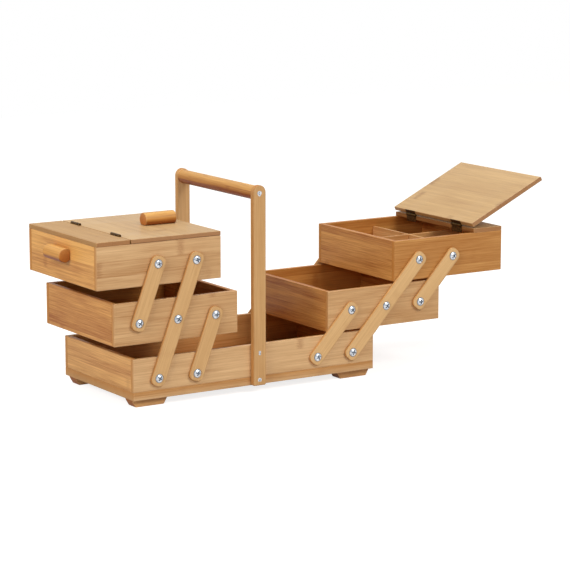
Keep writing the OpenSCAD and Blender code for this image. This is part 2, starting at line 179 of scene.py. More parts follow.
def ring_quads(rings, around, start=0):
    """Four corners for each square between closed rings that follow one another."""
    step = np.arange(around)
    after = (step + 1) % around
    low = start + np.arange(rings - 1)[:, None] * around
    high = low + around
    return np.stack([low + step, low + after, high + after, high + step], axis=-1).reshape(-1, 4)


def rounded_box(size, radius, margin=1.2 * MM):
    """A ball's skin pulled apart: a point in direction n from the ball's middle goes to radius * n,
    moved out along each axis by half the size less the radius. A flat face has one more line of
    points, a margin in from its edge, where the edge's own look ends."""
    points, faces, edge = [], [], []
    slope = np.tan(np.radians([45.0, 30.0, 15.0, 0.0]))
    bend = np.concatenate([-slope, [0.0, 0.0], slope[::-1]])
    worn_and_lit = np.array([1, 1, 1, 0.6, 0, 0, 0.6, 1, 1, 1])
    half = np.asarray(size, float) / 2 - radius
    pulled = []
    for h in half:
        inner = h - min(margin, h * 0.6)
        pulled.append(np.concatenate([-np.full(4, h), [-inner, inner], np.full(4, h)]))
    count = len(bend)
    for axis in range(3):
        second, third = (axis + 1) % 3, (axis + 2) % 3
        for sign in (1.0, -1.0):
            way = np.zeros((count, count, 3))
            way[..., axis] = sign
            way[..., second] = bend[:, None]
            way[..., third] = bend[None, :]
            way /= np.linalg.norm(way, axis=2, keepdims=True)
            place = way * radius
            place[..., axis] += sign * half[axis]
            place[..., second] += pulled[second][:, None]
            place[..., third] += pulled[third][None, :]
            quads = grid_quads(count, count, len(points) * count * count)
            faces.append(quads if sign > 0 else quads[:, ::-1])
            points.append(place.reshape(-1, 3))
            edge.append(np.maximum(worn_and_lit[:, None], worn_and_lit[None, :]).ravel())
    return weld(np.concatenate(points), faces, np.concatenate(edge))


def rounded_levels(thick, radius, margin):
    """The rings of a plate, as (inset, height, edge share, which sets how much use and painted light
    mark the edge): a margin ring, a quarter round, the side with its own margins when it is deep
    enough, and the same back down the other face. The quarter round is inset r(1 - sin a), height
    r(1 - cos a)."""
    turn = np.radians([0, 22.5, 45, 67.5, 90])
    inset, drop = radius * (1 - np.sin(turn)), radius * (1 - np.cos(turn))
    worn_and_lit = np.array([0.6, 1, 1, 1, 1])
    top = np.stack([inset, thick - drop, worn_and_lit], axis=1)
    bottom = np.stack([inset[::-1], drop[::-1], worn_and_lit[::-1]], axis=1)
    reach = radius + margin
    side = [[0, thick - reach, 0], [0, reach, 0]] if thick > 3 * reach else np.zeros((0, 3))
    return np.concatenate([[[reach, thick, 0]], top, side, bottom, [[reach, 0, 0]]])


def plate(corners, corner_radius, thick, radius, margin=0.7 * MM, steps=4):
    """A convex outline with rounded corners, given a thickness along z and rounded edges. A point of
    the outline is a corner of the inset polygon plus the corner radius along the direction that
    turns from one side's normal to the next; each ring takes its inset off that radius."""
    corners = np.asarray(corners, float)
    side = np.roll(corners, -1, axis=0) - corners
    side /= np.linalg.norm(side, axis=1, keepdims=True)
    normal = np.stack([side[:, 1], -side[:, 0]], axis=1)
    before = np.roll(normal, 1, axis=0)
    middle = corners - corner_radius * (before + normal) / (1 + (before * normal).sum(1))[:, None]
    crossed = before[:, 0] * normal[:, 1] - before[:, 1] * normal[:, 0]
    swing = np.arctan2(crossed, (before * normal).sum(1))[:, None] * np.linspace(0, 1, steps + 1)
    angle = np.arctan2(before[:, 1], before[:, 0])[:, None] + swing
    out = np.stack([np.cos(angle), np.sin(angle)], axis=-1).reshape(-1, 2)
    middle = np.repeat(middle, steps + 1, axis=0)
    levels = rounded_levels(thick, radius, margin)
    flat = middle[None] + out[None] * (corner_radius - levels[:, 0])[:, None, None]
    height = np.broadcast_to(levels[:, 1][:, None, None], flat.shape[:2] + (1,))
    points = np.concatenate([flat, height], axis=2)
    around, rings = len(out), len(levels)
    faces = [ring_quads(rings, around)[:, ::-1],
             np.arange(around)[None], (np.arange(around)[::-1] + (rings - 1) * around)[None]]
    return weld(points.reshape(-1, 3), faces, np.repeat(levels[:, 2], around))


def cell_outline(half_width, low, high, low_corner, high_corner):
    """The outline round one bore, against the clock: the front side, the high end, the back side and
    the low end. An end is two round corners, or a straight line of points where the bar goes on."""
    arc = np.radians(np.linspace(0, 90, 8))
    along = np.linspace(-(low - (low_corner or 0)), high - (high_corner or 0), 5)
    places, ways, joined = [], [], []

    def put(place, out, is_join):
        places.append(place)
        ways.append(out)
        joined.append(np.full(len(place), is_join))

    def end(reach, corner, way):
        if corner is None:
            across = np.linspace(-1, 1, 9)[1:-1] * half_width * way
            put(np.stack([np.full(7, reach * way), across], 1), np.zeros((7, 2)), True)
            return
        for k, sign in enumerate((-1, 1)):
            angle = arc + math.radians(-90 + 90 * k) + (0 if way > 0 else math.pi)
            out = np.stack([np.cos(angle), np.sin(angle)], 1)
            centre = np.array([(reach - corner) * way, sign * (half_width - corner) * way])
            put(centre + out * corner, out, False)

    put(np.stack([along, np.full(5, -half_width)], 1), np.tile([0.0, -1.0], (5, 1)), False)
    end(high, high_corner, 1)
    put(np.stack([along[::-1], np.full(5, half_width)], 1), np.tile([0.0, 1.0], (5, 1)), False)
    end(low, low_corner, -1)
    return np.concatenate(places), np.concatenate(ways), np.concatenate(joined)


def drilled_bar(bores, ends, half_width, corners, thick, radius, bore_profile, margin=1.2 * MM):
    """A flat bar with a row of bores, thick along z. It is cut half-way between bores into cells. In
    each cell the rings run from the bore's mouth out to the outline, over the rounded edge, and back
    to the bore on the other face; the profile of the bore, as (radius, height) pairs, closes them."""
    points, faces, edge, start = [], [], [], 0
    cuts = (np.array(bores[1:]) + np.array(bores[:-1])) / 2
    lows = np.concatenate([[-ends[0]], cuts])
    highs = np.concatenate([cuts, [ends[1]]])
    levels = rounded_levels(thick, radius, margin)
    for k, bore in enumerate(bores):
        low_corner = corners[0] if k == 0 else None
        high_corner = corners[1] if k == len(bores) - 1 else None
        low, high = bore - lows[k], highs[k] - bore
        outline, out, joined = cell_outline(half_width, low, high, low_corner, high_corner)
        at_cut = joined.copy()
        for reach, corner, way in ((high, high_corner, 1), (low, low_corner, -1)):
            if corner is None:
                at_cut |= np.abs(outline[:, 0] - reach * way) < 1e-7
        rings = []
        for inset, height, _ in levels:
            ring = outline - out * inset
            pull = max(inset - radius, 0.0)
            ring[at_cut, 0] = (np.abs(outline[at_cut, 0]) - pull) * np.sign(outline[at_cut, 0])
            ring[at_cut, 1] = outline[at_cut, 1] * (half_width - inset) / half_width
            rings.append(np.column_stack([ring, np.full(len(ring), height)]))
        spoke = outline / np.linalg.norm(outline, axis=1, keepdims=True)
        for bore_radius, height in bore_profile[k]:
            rings.append(np.column_stack([spoke * bore_radius, np.full(len(spoke), height)]))
        around, count = len(outline), len(rings)
        stack = np.stack(rings)
        stack[..., 0] += bore
        quads = ring_quads(count, around, start).reshape(count - 1, around, 4)[:, :, ::-1]
        on_cut = at_cut & np.roll(at_cut, -1)
        on_cut &= np.abs(outline[:, 0] - np.roll(outline[:, 0], -1)) < 1e-7
        keep = np.ones((count - 1, around), bool)
        keep[1:len(levels) - 2] &= ~on_cut
        faces.append(quads[keep])
        step = np.arange(around)
        after = (step + 1) % around
        last = start + (count - 1) * around
        faces.append(np.stack([last + step, start + step, start + after, last + after], 1))
        points.append(stack.reshape(-1, 3))
        worn_and_lit = np.where(joined[None], 0.0, levels[:, 2][:, None]).ravel()
        edge.append(np.concatenate([worn_and_lit, np.zeros(around * len(bore_profile[k]))]))
        start += count * around
    return weld(np.concatenate(points), faces, np.concatenate(edge))


def hinged_board(length, width, thick, radius, hinge_places, groove, recess):
    """A board whose edge at y = -width/2 takes hinges. Its section is a rounded rectangle, carried
    along x; beside a hinge the points of that edge step in by the recess, and its upper corner
    follows the round groove (radius, centre out from the edge, centre above the face)."""
    corner = radius * 1.25
    arc = np.linspace(0, 90, 6)
    centres = np.array([[-width / 2, thick], [-width / 2, 0], [width / 2, 0], [width / 2, thick]])
    pull = np.array([[1, -1], [1, 1], [-1, 1], [-1, -1]]) * corner
    angle = np.radians(arc[None] + np.array([90, 180, 270, 0])[:, None])
    out = np.stack([np.cos(angle), np.sin(angle)], -1)
    middle = np.repeat((centres + pull)[:, None], 6, axis=1)
    out, middle = out.reshape(-1, 2), middle.reshape(-1, 2)
    upper_corner, hinge_edge = np.arange(6), np.arange(12)

    turn = np.radians([0, 22.5, 45, 67.5, 90])
    x_end, inset_end = radius * (1 - np.cos(turn)), radius * (1 - np.sin(turn))
    step = 0.05 * MM
    beside_hinge = ((-1, -step), (-1, 0), (1, 0), (1, step))
    spots = [place + way * HINGE_HALF + off for place in hinge_places for way, off in beside_hinge]
    end = length / 2
    margin = end - radius - 1.2 * MM
    inner = np.sort(np.array(spots + [-margin, margin]))
    x = np.concatenate([[-end], -end + x_end, inner, end - x_end[::-1], [end]])
    inset = np.concatenate([[corner], inset_end, np.zeros(len(inner)), inset_end[::-1], [corner]])
    worn_and_lit = np.concatenate([[0, 1, 1, 1, 1, 0.5], np.zeros(len(inner)), [0.5, 1, 1, 1, 1, 0]])
    section = middle[None] + out[None] * (corner - inset)[:, None, None]
    groove_radius, groove_out, groove_up = groove
    drop = math.sqrt(groove_radius ** 2 - (groove_out + recess) ** 2)
    reach = math.sqrt(groove_radius ** 2 - groove_up ** 2)
    first = math.atan2(-drop, groove_out + recess)
    last = math.atan2(-groove_up, reach)
    sweep = np.linspace(last, first, 6)
    cut = np.stack([-width / 2 - groove_out + groove_radius * np.cos(sweep),
                    thick + groove_up + groove_radius * np.sin(sweep)], 1)
    for place in hinge_places:
        beside = np.abs(x - place) < HINGE_HALF + 1e-6
        section[np.ix_(beside, hinge_edge)] += np.array([recess, 0.0])
        section[np.ix_(beside, upper_corner)] = cut
    along = np.broadcast_to(x[:, None, None], section.shape[:2] + (1,))
    points = np.concatenate([along, section], axis=2)
    around = len(out)
    round_share = np.sin(np.radians(np.tile(arc, 4)) * 2)
    edge = np.maximum(worn_and_lit[:, None], np.where(round_share > 0.01, 1.0, 0.1)[None])
    edge[[0, -1]] = 0.0
    faces = [ring_quads(len(x), around)[:, ::-1],
             np.arange(around)[None], (np.arange(around)[::-1] + (len(x) - 1) * around)[None]]
    return weld(points.reshape(-1, 3), faces, edge.ravel())


def screw(head_radius, crown, rim, below, slot_half, recess_half, recess_depth):
    """A screw along -z with its head up. A square grid is pressed into a disc by x = u sqrt(1 - v²/2)
    and y = v sqrt(1 - u²/2); its height is the rim plus crown (1 - r^2.4), less the cross recess,
    which shallows towards the ends of its slots. Below the rim its edge is carried down a profile."""
    slot, reach, step = slot_half / head_radius, recess_half / head_radius, 0.02
    half = np.array([slot * 0.5, slot, slot + step, (slot + reach) / 2, reach, reach + step,
                     (reach + 1) / 2, 0.82, 0.91, 0.97, 1.0])
    half = np.unique(np.round(half, 5))
    line = np.concatenate([-half[::-1], [0.0], half])
    u, v = np.meshgrid(line, line, indexing="ij")
    x, y = u * np.sqrt(1 - v * v / 2), v * np.sqrt(1 - u * u / 2)
    far = np.minimum(np.hypot(x, y), 1.0)
    a, b = np.maximum(np.abs(u), np.abs(v)), np.minimum(np.abs(u), np.abs(v))
    sunk = (a <= reach + 1e-6) & (b <= slot + 1e-6)
    height = rim + crown * (1 - far ** 2.4) - np.where(sunk, recess_depth * (1 - 0.55 * a / reach), 0.0)
    count = len(line)
    number = np.arange(count * count).reshape(count, count)
    border = np.concatenate([number[:-1, 0], number[-1, :-1], number[:0:-1, -1], number[0, :0:-1]])
    top = np.column_stack([x.ravel() * head_radius, y.ravel() * head_radius, height.ravel()])
    spoke = np.column_stack([x.ravel(), y.ravel()])[border]
    rings = [np.column_stack([spoke * radius, np.full(len(border), z)]) for radius, z in below]
    around = len(border)
    first = np.stack([border, count * count + np.arange(around),
                      count * count + (np.arange(around) + 1) % around, np.roll(border, -1)], 1)
    faces = [grid_quads(count, count), first, ring_quads(len(rings), around, count * count)[:, ::-1],
             (count * count + (len(rings) - 1) * around + np.arange(around)[::-1])[None]]
    points = np.concatenate([top] + rings)
    # Painted shade: dark in the cross recess, deepening out to the rim, and under the head.
    hollow = np.maximum(np.where(sunk, 1.0, 0.0), np.clip((far - 0.78) / 0.16, 0, 1) * 0.75).ravel()
    return weld(points, faces, np.concatenate([hollow, np.full(len(points) - len(top), 0.6)]))


def turned(profile, around=40):
    """A section of (radius, place along x) pairs carried round the x axis, closed on itself."""
    profile = np.asarray(profile, float)
    angle = np.linspace(0, 2 * math.pi, around, endpoint=False)
    radius, place = profile[:, 0][:, None], profile[:, 1][:, None]
    points = np.stack([place + 0 * angle, radius * np.cos(angle), radius * np.sin(angle)], -1)
    faces = ring_quads(len(profile), around)
    step = np.arange(around)
    after = (step + 1) % around
    low = (len(profile) - 1) * around
    close = np.stack([low + step, low + after, after, step], 1)
    return weld(points.reshape(-1, 3), [faces, close], np.zeros(len(profile) * around))


def solid_pin(radius, half_length, dome):
    """A pin along x whose ends are low domes: radius sin a, place half + dome cos a."""
    angle = np.radians([6, 25, 45, 65, 90])
    end = [(radius * math.sin(a), half_length + dome * math.cos(a)) for a in angle]
    profile = [(r, -p) for r, p in end] + [(r, p) for r, p in end[::-1]]
    return turned(profile, 24)


# Setting pieces in place

def together(*shapes):
    """Several surfaces as one, with their points numbered on."""
    points, faces, edge, start = [], [], [], 0
    for shape_points, shape_faces, shape_edge in shapes:
        points.append(shape_points)
        faces += [[i + start for i in face] for face in shape_faces]
        edge.append(shape_edge)
        start += len(shape_points)
    return np.concatenate(points), faces, np.concatenate(edge)


def moved(shape, axes, origin):
    """A surface whose own x, y and z axes are laid along the three given directions."""
    return shape[0] @ np.array(axes, float) + np.asarray(origin, float), shape[1], shape[2]


def set_mesh(name, points, faces, material):
    """A smooth surface as an object of the scene; folds of more than 38 degrees stay sharp."""
    mesh = bpy.data.meshes.new(name)
    mesh.from_pydata(points.tolist(), [], faces)
    mesh.update()
    mesh.polygons.foreach_set("use_smooth", np.ones(len(mesh.polygons), bool))
    mesh.set_sharp_from_angle(angle=math.radians(38))
    mesh.materials.append(material)
    piece = bpy.data.objects.new(name, mesh)
    bpy.context.scene.collection.objects.link(piece)
    return piece


def hand_over(piece, body, nodes):
    """Says which body a piece rides on and which nodes it stands for."""
    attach(piece, body)
    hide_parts(*nodes)


def wooden(name, body, nodes, slot, material, parts, tone=0.0, warm=0.0, grain_axis=0):
    """One wooden piece. Each part is (surface, axes, origin); its grain runs along its own axis of
    that number, and starts at a place that the name alone decides."""
    luck = np.random.default_rng(zlib.crc32(name.encode()))
    placed, grain, cut_way = [], [], []
    for surface, axes, origin in parts:
        start = luck.uniform(0, 4, 3)
        order = [grain_axis, (grain_axis + 1) % 3, (grain_axis + 2) % 3]
        grain.append(surface[0][:, order] + start)
        cut_way.append(np.tile(np.array(axes, float)[grain_axis], (len(surface[0]), 1)))
        placed.append(moved(surface, axes, origin))
    points, faces, edge = together(*placed)
    piece = set_mesh(name, points, faces, material)
    mesh = piece.data
    grain = np.concatenate(grain).astype(np.float32)
    normals = np.zeros(len(points) * 3, np.float32)
    mesh.vertices.foreach_get("normal", normals)
    cut = np.abs((normals.reshape(-1, 3) * np.concatenate(cut_way)).sum(1))
    mesh.attributes.new("grain", "FLOAT_VECTOR", "POINT").data.foreach_set("vector", grain.ravel())
    steady = np.ones(len(points))
    looks = {"cut": cut, "edge": edge, "tone": steady * tone, "warm": steady * warm}
    for label, values in looks.items():
        data = mesh.attributes.new(label, "FLOAT", "POINT").data
        data.foreach_set("value", values.astype(np.float32))
    hand_over(piece, body, nodes)


def metal(name, body, nodes, material, parts):
    """One metal piece, from parts that are (surface, axes, origin)."""
    points, faces, hollow = together(*[moved(*part) for part in parts])
    piece = set_mesh(name, points, faces, material)
    values = piece.data.attributes.new("hollow", "FLOAT", "POINT").data
    values.foreach_set("value", hollow.astype(np.float32))
    hand_over(piece, body, nodes)


def corner_box(name):
    """The two extreme corners of a node of the frame."""
    low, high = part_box(name)
    return np.array(low), np.array(high)


def outward(side):
    """Which way along X leads from the handle to the end of that side."""
    return -1.0 if side == "left" else 1.0


def board_part(low, high, along, through, radius=0.7 * MM):
    """A board that fills the box from low to high, with its grain along one world axis."""
    size = np.asarray(high) - np.asarray(low)
    axes = np.array([along, np.cross(through, along), through])
    return (rounded_box(np.abs(axes) @ size, radius), axes, (np.asarray(low) + np.asarray(high)) / 2)


# Materials

def linear(red, green, blue):
    """A colour written as 0 to 255 on a screen, as the amounts of light that the shader takes."""
    parts = np.array([red, green, blue]) / 255
    return tuple(np.where(parts <= 0.04045, parts / 12.92, ((parts + 0.055) / 1.055) ** 2.4)) + (1.0,)


def node(tree, kind, feeds=(), **settings):
    """Adds a node. Feeds are (input, value or socket) pairs; the rest are the node's own settings."""
    made = tree.nodes.new(kind)
    for key, value in settings.items():
        setattr(made, key, value)
    for place, value in feeds:
        socket = made.inputs[place]
        if isinstance(value, bpy.types.NodeSocket):
            tree.links.new(value, socket)
        else:
            socket.default_value = value
    return made


def reckon(tree, operation, a, b=0.0, c=None, clamp=False):
    feeds = [(0, a), (1, b)] + ([(2, c)] if c is not None else [])
    return node(tree, "ShaderNodeMath", feeds, operation=operation, use_clamp=clamp).outputs[0]


def blend_colour(tree, share, first, second, way="MIX"):
    return node(tree, "ShaderNodeMix", [(0, share), (6, first), (7, second)],
                data_type="RGBA", blend_type=way).outputs[2]


def ramp(tree, value, low, high, to_low=0.0, to_high=1.0):
    return node(tree, "ShaderNodeMapRange",
                [("Value", value), ("From Min", low), ("From Max", high),
                 ("To Min", to_low), ("To Max", to_high)],
                interpolation_type="SMOOTHSTEP").outputs[0]


def stretched_noise(tree, vector, stretch, detail=2.0, rough=0.5, distortion=0.0):
    """Noise whose grains are 1 / stretch long along each axis of the wood."""
    scaled = node(tree, "ShaderNodeVectorMath", [(0, vector), (1, stretch)], operation="MULTIPLY")
    scaled = scaled.outputs[0]
    return node(tree, "ShaderNodeTexNoise",
                [("Vector", scaled), ("Scale", 1.0), ("Detail", detail), ("Roughness", rough),
                 ("Distortion", distortion)]).outputs[0]


def new_group(name, inputs, outputs):
    group = bpy.data.node_groups.new(name, "ShaderNodeTree")
    for label, kind, value in inputs:
        socket = group.interface.new_socket(label, in_out="INPUT", socket_type=kind)
        socket.default_value = value
    for label, kind in outputs:
        group.interface.new_socket(label, in_out="OUTPUT", socket_type=kind)
    return group, group.nodes.new("NodeGroupInput").outputs, group.nodes.new("NodeGroupOutput").inputs


def make_strip_pattern():
    """Laminated bamboo. The wood is bars of one strip width across and one board through. Each bar has
    its own shade, dark and pale streaks that run along it, fine fibres, and soft ruddy bands where the
    cane had its knuckles. A cut across the bars shows dotted fibre ends."""
    group, given, out = new_group(
        "bamboo strips",
        [("Grain", "NodeSocketVector", (0, 0, 0)), ("Tone", "NodeSocketFloat", 0.0),
         ("Warm", "NodeSocketFloat", 0.0), ("Cut", "NodeSocketFloat", 0.0),
         ("Strip Width", "NodeSocketFloat", 0.02), ("Strip Contrast", "NodeSocketFloat", 0.2),
         ("Streaks", "NodeSocketFloat", 0.3), ("Knuckles", "NodeSocketFloat", 0.5),
         ("Pale", "NodeSocketColor", (1, 1, 1, 1)), ("Deep", "NodeSocketColor", (0.5, 0.5, 0.5, 1)),
         ("Fibre Ends", "NodeSocketColor", (0.4, 0.3, 0.2, 1)),
         ("Knuckle Shade", "NodeSocketColor", (0.3, 0.2, 0.1, 1))],
        [("Colour", "NodeSocketColor"), ("Gloss Change", "NodeSocketFloat"),
         ("Height", "NodeSocketFloat")])
    grain = given["Grain"]
    parts = node(group, "ShaderNodeSeparateXYZ", [(0, grain)]).outputs
    across = reckon(group, "DIVIDE", parts[1], given["Strip Width"])
    bar = reckon(group, "FLOOR", across)
    layer = reckon(group, "FLOOR", reckon(group, "DIVIDE", parts[2], LAYER_DEEP))
    number = node(group, "ShaderNodeCombineXYZ", [(0, bar), (1, layer), (2, 0.37)]).outputs[0]
    luck = node(group, "ShaderNodeTexWhiteNoise", [("Vector", number)], noise_dimensions="3D").outputs
    shade = reckon(group, "SUBTRACT", luck[0], 0.5)
    shifts = node(group, "ShaderNodeSeparateColor", [(0, luck[1])]).outputs

    shift = reckon(group, "MULTIPLY", shifts[0], 9.0)
    shift = node(group, "ShaderNodeCombineXYZ", [(0, shift)]).outputs[0]
    own = node(group, "ShaderNodeVectorMath", [(0, grain), (1, shift)], operation="ADD").outputs[0]
    broad = stretched_noise(group, own, (6.0, 120.0, 120.0), 3.0, 0.55)
    streak = stretched_noise(group, own, (14.0, 620.0, 620.0), 3.0, 0.6)
    fibre = stretched_noise(group, own, (26.0, 1500.0, 1500.0), 2.0, 0.6)
    patch = stretched_noise(group, own, (11.0, 26.0, 26.0), 2.0, 0.5)

    level = reckon(group, "MULTIPLY_ADD", shade, given["Strip Contrast"], 0.56)
    for wave, weight in ((broad, 1.0), (streak, 1.15), (fibre, 1.1), (patch, 0.6)):
        centred = reckon(group, "SUBTRACT", wave, 0.5)
        strength = reckon(group, "MULTIPLY", given["Streaks"], weight)
        level = reckon(group, "MULTIPLY_ADD", centred, strength, level)
    # Tone moves the level: each board's own tone, and painted light and shade.
    level = reckon(group, "ADD", level, given["Tone"], clamp=True)
    colour = blend_colour(group, level, given["Deep"], given["Pale"])

    cycle = reckon(group, "MULTIPLY", shifts[1], 5.0)
    cycle = reckon(group, "MULTIPLY_ADD", parts[0], 1 / KNUCKLES_APART, cycle)
    cycle = reckon(group, "SUBTRACT", reckon(group, "FRACT", cycle), 0.5)
    off = reckon(group, "MULTIPLY", reckon(group, "ABSOLUTE", cycle), KNUCKLES_APART)
    ragged = reckon(group, "MULTIPLY_ADD", reckon(group, "SUBTRACT", streak, 0.5), 0.012, off)
    ring = ramp(group, ragged, 0.001, 0.009, 1.0, 0.0)
    speckle = stretched_noise(group, own, (420.0, 900.0, 900.0), 2.0, 0.6)
    speckle = ramp(group, speckle, 0.35, 0.65, 0.55, 1.0)
    chosen = ramp(group, shifts[2], 0.55, 0.75)
    mark = reckon(group, "MULTIPLY", reckon(group, "MULTIPLY", ring, speckle), chosen)
    mark = reckon(group, "MULTIPLY", mark, given["Knuckles"], clamp=True)
    colour = blend_colour(group, mark, colour, given["Knuckle Shade"])

    seam = reckon(group, "ABSOLUTE", reckon(group, "SUBTRACT", reckon(group, "FRACT", across), 0.5))
    seam = reckon(group, "MULTIPLY", reckon(group, "SUBTRACT", 0.5, seam), given["Strip Width"])
    seam = ramp(group, seam, 0.0001, 0.0005, 1.0, 0.0)
    colour = blend_colour(group, reckon(group, "MULTIPLY", seam, 0.2), colour, given["Deep"])

    dots = ramp(group, stretched_noise(group, grain, (25.0, 1300.0, 1300.0), 1.0, 0.5), 0.42, 0.66)
    dots = reckon(group, "MULTIPLY", dots, 0.22)
    ends = blend_colour(group, dots, given["Fibre Ends"], given["Knuckle Shade"])
    colour = blend_colour(group, ramp(group, given["Cut"], 0.62, 0.97, 0.0, 0.8), colour, ends)
    # Warm tints it orange: the wood's own colour, and painted warm shade.
    orange = blend_colour(group, given["Warm"], (1, 1, 1, 1), (0.98, 0.77, 0.42, 1))
    colour = blend_colour(group, 1.0, colour, orange, "MULTIPLY")

    height = reckon(group, "MULTIPLY_ADD", streak, 0.5, reckon(group, "MULTIPLY", fibre, 0.5))
    height = reckon(group, "SUBTRACT", height, reckon(group, "MULTIPLY", seam, 0.6))
    gloss = reckon(group, "MULTIPLY", given["Cut"], 0.12)
    gloss = reckon(group, "MULTIPLY_ADD", streak, STREAK_GLOSS, gloss)
    group.links.new(colour, out["Colour"])
    group.links.new(gloss, out["Gloss Change"])
    group.links.new(height, out["Height"])
    return group


def make_edge_wear_and_light():
    """Rounded edges: darker where lacquer pools and where painted shade lies along them, and paler on
    the crest, where handling rubs it and where a painted highlight lies.
    """
    group, given, out = new_group(
        "edge wear and light",
        [("Edge", "NodeSocketFloat", 0.0), ("Grain", "NodeSocketVector", (0, 0, 0)),
         ("Colour", "NodeSocketColor", (1, 1, 1, 1)), ("Rubbed And Lit", "NodeSocketFloat", 0.3),
         ("Darkened", "NodeSocketFloat", 0.2)],
        [("Colour", "NodeSocketColor"), ("Gloss Change", "NodeSocketFloat")])
    patchy = stretched_noise(group, given["Grain"], (28.0, 60.0, 60.0), 3.0, 0.6)
    crest = reckon(group, "MULTIPLY", ramp(group, given["Edge"], 0.55, 1.0), given["Rubbed And Lit"])
    rubbed_and_lit = reckon(group, "MULTIPLY", crest, ramp(group, patchy, 0.35, 0.65))
    pooled_and_shaded = reckon(group, "MULTIPLY", given["Edge"], given["Darkened"])
    pooled_and_shaded = reckon(group, "MULTIPLY", pooled_and_shaded, ramp(group, patchy, 0.62, 0.38, 0.5, 1.0))
    # Pale crest: rubbing and a painted highlight; dark pool: lacquer and painted shade.
    colour = blend_colour(group, rubbed_and_lit, given["Colour"], linear(236, 200, 150))
    colour = blend_colour(group, pooled_and_shaded, colour, linear(120, 70, 32))
    group.links.new(colour, out["Colour"])
    group.links.new(reckon(group, "MULTIPLY", rubbed_and_lit, -0.1), out["Gloss Change"])
    return group


strip_pattern = make_strip_pattern()
edge_wear_and_light = make_edge_wear_and_light()


def bamboo(name, pale, deep, ends, strip_width=0.021, strip_contrast=0.3, streaks=0.62, knuckles=0.4,
           rough=0.46, coat=0.05, rubbed_and_lit=0.12, darkened=0.1):
    """A bamboo finish: the strip pattern in its own shades, paler and darker at the edges from use and
    from painted light and shade, under satin lacquer.
    """
    material = bpy.data.materials.new(name)
    material.use_nodes = True
    tree = material.node_tree
    shader = tree.nodes["Principled BSDF"]
    grain = node(tree, "ShaderNodeAttribute", attribute_name="grain").outputs["Vector"]
    tone, warm, cut, edge = (node(tree, "ShaderNodeAttribute", attribute_name=label).outputs["Fac"]
                             for label in ("tone", "warm", "cut", "edge"))
    strips = node(tree, "ShaderNodeGroup", node_tree=strip_pattern)
    wear_and_light = node(tree, "ShaderNodeGroup", node_tree=edge_wear_and_light)
    ruddy = [part * share for part, share in zip(deep, (0.86, 0.72, 0.62))]
    for label, value in (("Strip Width", strip_width), ("Strip Contrast", strip_contrast),
                         ("Streaks", streaks), ("Knuckles", knuckles),
                         ("Pale", linear(*pale)), ("Deep", linear(*deep)),
                         ("Fibre Ends", linear(*ends)), ("Knuckle Shade", linear(*ruddy))):
        strips.inputs[label].default_value = value
    wear_and_light.inputs["Rubbed And Lit"].default_value = rubbed_and_lit
    wear_and_light.inputs["Darkened"].default_value = darkened
    for source, target in ((grain, strips.inputs["Grain"]), (tone, strips.inputs["Tone"]),
                           (warm, strips.inputs["Warm"]), (cut, strips.inputs["Cut"]),
                           (grain, wear_and_light.inputs["Grain"]), (edge, wear_and_light.inputs["Edge"]),
                           (strips.outputs["Colour"], wear_and_light.inputs["Colour"]),
                           (wear_and_light.outputs["Colour"], shader.inputs["Base Color"])):
        tree.links.new(source, target)
    change = reckon(tree, "ADD", strips.outputs["Gloss Change"], wear_and_light.outputs["Gloss Change"])
    tree.links.new(reckon(tree, "ADD", change, rough - STREAK_GLOSS / 2), shader.inputs["Roughness"])
    bump = node(tree, "ShaderNodeBump",
                [("Height", strips.outputs["Height"]), ("Strength", 0.35), ("Distance", 0.00025)])
    tree.links.new(bump.outputs[0], shader.inputs["Normal"])
    shader.inputs["Coat Weight"].default_value = coat
    shader.inputs["Coat Roughness"].default_value = 0.25
    shader.inputs["Specular IOR Level"].default_value = 0.22
    return material


def plated(name, colour, dark, rough, spread, scale, hollow_shade_colour):
    """A metal finish: a plain metal whose shade and polish drift in soft patches, with shade painted
    in where the hollow attribute is set.
    """
    material = bpy.data.materials.new(name)
    material.use_nodes = True
    tree = material.node_tree
    shader = tree.nodes["Principled BSDF"]
    place = node(tree, "ShaderNodeTexCoord").outputs["Object"]
    hollow = node(tree, "ShaderNodeAttribute", attribute_name="hollow").outputs["Fac"]
    cloud = stretched_noise(tree, place, (scale, scale, scale), 3.0, 0.6)
    tint = blend_colour(tree, ramp(tree, cloud, 0.35, 0.7), linear(*colour), linear(*dark))
    tint = blend_colour(tree, hollow, tint, linear(*hollow_shade_colour))
    tree.links.new(tint, shader.inputs["Base Color"])
    polish = reckon(tree, "MULTIPLY_ADD", cloud, spread, rough - spread / 2)
    tree.links.new(polish, shader.inputs["Roughness"])
    grit = stretched_noise(tree, place, (scale * 9, scale * 9, scale * 9), 2.0, 0.6)
    bump = node(tree, "ShaderNodeBump", [("Height", grit), ("Strength", 0.12), ("Distance", 0.0001)])
    tree.links.new(bump.outputs[0], shader.inputs["Normal"])
    shader.inputs["Metallic"].default_value = 1.0
    return material


board_wood = bamboo("bamboo board", (230, 190, 140), (166, 112, 60), (196, 146, 90),
                    strip_contrast=0.22)
end_wood = bamboo("bamboo end board", (238, 198, 146), (158, 98, 48), (196, 146, 90),
                  strip_contrast=0.3, streaks=0.85)
lid_wood = bamboo("bamboo lid", (212, 178, 128), (118, 70, 34), (166, 116, 76), strip_contrast=0.1,
                  streaks=0.36, coat=0.12)
arm_wood = bamboo("bamboo arm", (230, 188, 132), (184, 134, 80), (190, 130, 66), strip_contrast=0.14,
                  streaks=0.5, knuckles=0.12, rubbed_and_lit=0.05, darkened=0.25)
strip_wood = bamboo("bamboo strip", (214, 180, 130), (118, 70, 34), (166, 116, 76), strip_contrast=0.1,
                    streaks=0.32, coat=0.0, rough=0.52)
dowel_wood = bamboo("bamboo dowel", (218, 168, 98), (134, 74, 30), (190, 128, 74), strip_width=0.0065,
                    strip_contrast=0.6, streaks=0.7, knuckles=0.3)
